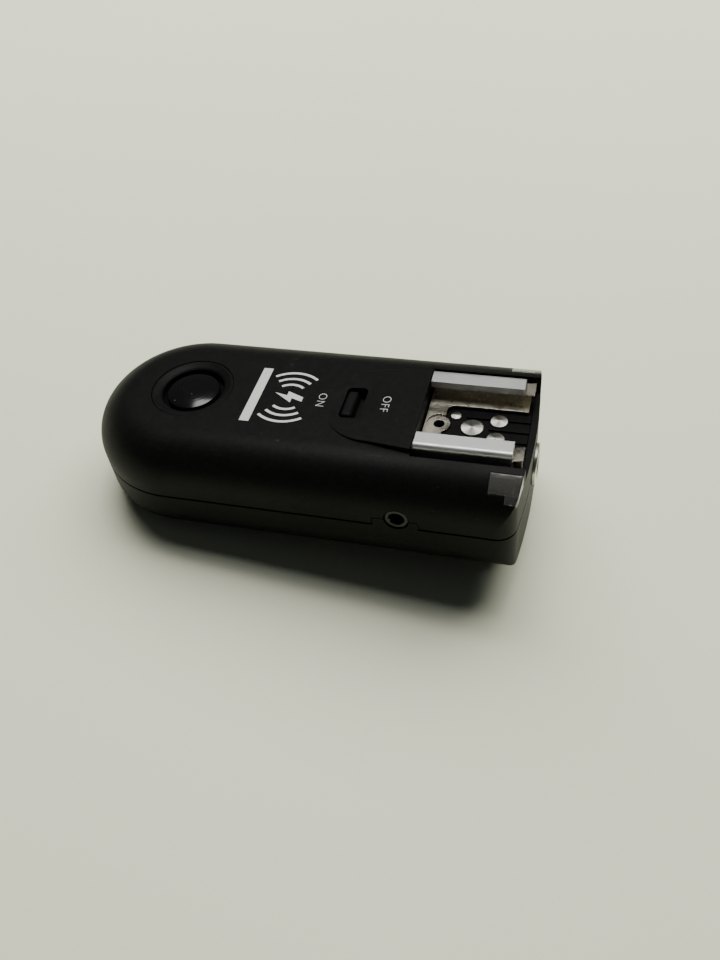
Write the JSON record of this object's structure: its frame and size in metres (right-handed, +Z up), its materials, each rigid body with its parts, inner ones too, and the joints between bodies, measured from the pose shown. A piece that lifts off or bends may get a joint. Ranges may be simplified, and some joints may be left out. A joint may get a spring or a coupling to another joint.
{
  "type": "wireless flash trigger",
  "caption": "pocket radio flash trigger: D-shaped plastic case, metal hot shoe and power switch on top, round test button, shoe foot below",
  "frame": {"origin": "middle of the case in plan, on the plane of the foot's sole", "axes": "+X out of the open end of the hot shoe, towards the sync socket; +Z up; the side jack is on -Y"},
  "size_m": [0.087, 0.0388, 0.027],
  "materials": {
    "shell_plastic": "satin fine-grained moulding",
    "button_gloss": "polished moulding",
    "contact_black": "smooth moulding",
    "rail_aluminium": "satin sheet, bent",
    "nickel_plate": "warm nickel plating",
    "contact_metal": "turned and plated",
    "window_clear": "clear polycarbonate, smoky where it is thick",
    "led_red": "tinted epoxy lens",
    "led_green": "tinted epoxy lens",
    "gold_contact": "gold flash on brass",
    "insulator_white": "moulded insulator",
    "board_green": "solder mask on fibreglass",
    "chip_black": "moulded package",
    "tin_shield": "tinned steel can",
    "spring_steel": "drawn wire",
    "cell_wrap": "plain printed sleeve",
    "switch_red": "moulded switch case",
    "slider_white": "moulded slider",
    "screw_black": "black oxide"
  },
  "bodies": {
    "root": {"upper_shell": "shell_plastic", "lower_shell": "shell_plastic", "foot": "shell_plastic", "button_bezel": "shell_plastic", "contact_block": "contact_black", "jack_barrel": "button_gloss", "jack_body": "contact_black", "shoe_rails": "rail_aluminium", "shoe_plate": "nickel_plate", "shoe_base_plate": "nickel_plate", "centre_contact": "contact_metal", "signal_contact_left": "contact_metal", "signal_contact_right": "contact_metal", "ready_contact": "contact_metal", "led_window_left": "window_clear", "led_window_right": "window_clear", "status_led_left": "led_green", "status_led_right": "led_red", "sync_shell": "contact_metal", "sync_insulator": "insulator_white", "sync_sleeve": "gold_contact", "foot_pin_spring": "spring_steel", "foot_terminal": "gold_contact", "foot_screws": "screw_black", "shell_screws": "screw_black", "board_screws": "tin_shield", "shoe_screws": "tin_shield", "tact_switch": "tin_shield", "power_switch": "tin_shield", "code_switch": "switch_red", "main_board": "board_green", "radio_module": "board_green", "radio_shield": "tin_shield", "control_chip": "chip_black", "crystal_can": "tin_shield", "capacitor_group": "chip_black", "antenna_coil": "gold_contact", "battery_left": "cell_wrap", "battery_right": "cell_wrap", "battery_bridge": "tin_shield", "terminal_plus": "tin_shield", "terminal_minus": "tin_shield", "battery_spring_nose": "spring_steel", "battery_spring_tail": "spring_steel"},
    "test_button": {"test_button": "button_gloss", "tact_plunger": "chip_black"},
    "power_knob": {"power_knob": "shell_plastic", "power_lever": "slider_white"},
    "battery_door": {"battery_door": "shell_plastic"},
    "foot_pin": {"foot_pin": "gold_contact"},
    "code_slider_1": {"code_slider_1": "slider_white"},
    "code_slider_2": {"code_slider_2": "slider_white"},
    "code_slider_3": {"code_slider_3": "slider_white"},
    "code_slider_4": {"code_slider_4": "slider_white"}
  },
  "joints": [
    {"name": "button_press", "type": "slide", "parent": "root", "child": "test_button", "axis": [0, 0, -1], "range_m": [0, 0.0009], "stiffness_N_per_m": 900},
    {"name": "power_slide", "type": "slide", "parent": "root", "child": "power_knob", "axis": [1, 0, 0], "range_m": [0, 0.0015]},
    {"name": "door_slide", "type": "slide", "parent": "root", "child": "battery_door", "axis": [-1, 0, 0], "range_m": [0, 0.069]},
    {"name": "foot_pin_travel", "type": "slide", "parent": "root", "child": "foot_pin", "axis": [0, 0, -1], "range_m": [0, 0.0006], "deforming": ["foot_pin_spring"]},
    {"name": "code_slide_1", "type": "slide", "parent": "root", "child": "code_slider_1", "axis": [1, 0, 0], "range_m": [0, 0.0012]},
    {"name": "code_slide_2", "type": "slide", "parent": "root", "child": "code_slider_2", "axis": [1, 0, 0], "range_m": [0, 0.0012]},
    {"name": "code_slide_3", "type": "slide", "parent": "root", "child": "code_slider_3", "axis": [1, 0, 0], "range_m": [0, 0.0012]},
    {"name": "code_slide_4", "type": "slide", "parent": "root", "child": "code_slider_4", "axis": [1, 0, 0], "range_m": [0, 0.0012]}
  ]
}
